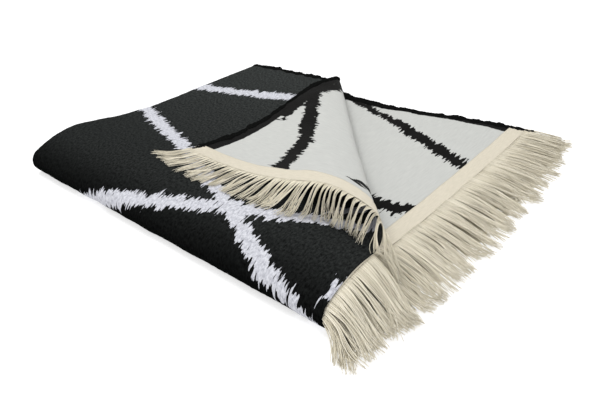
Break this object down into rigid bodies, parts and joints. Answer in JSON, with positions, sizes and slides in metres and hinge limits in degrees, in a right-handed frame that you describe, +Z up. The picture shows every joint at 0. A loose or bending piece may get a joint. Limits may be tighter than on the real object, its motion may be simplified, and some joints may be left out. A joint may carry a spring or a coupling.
{
  "type": "throw blanket",
  "caption": "Reversible woven throw with fringed ends, folded twice into a flat rectangle, its top corner turned back over itself.",
  "frame": {"origin": "middle of the folded rectangle on its flat underside", "axes": "+Z up from the surface it lies on, +X towards the fringed ends, -Y towards the high fold across the width"},
  "size_m": [0.8408, 0.6684, 0.0994],
  "materials": {
    "throw_cloth": "napped double weave, charcoal face with an off-white reverse",
    "fringe_outer": "cream cotton header and strings",
    "fringe_inner": "cream cotton header and strings"
  },
  "bodies": {
    "root": {"throw_cloth": "throw_cloth", "fringe_outer": "fringe_outer", "fringe_inner": "fringe_inner"}
  },
  "joints": []
}
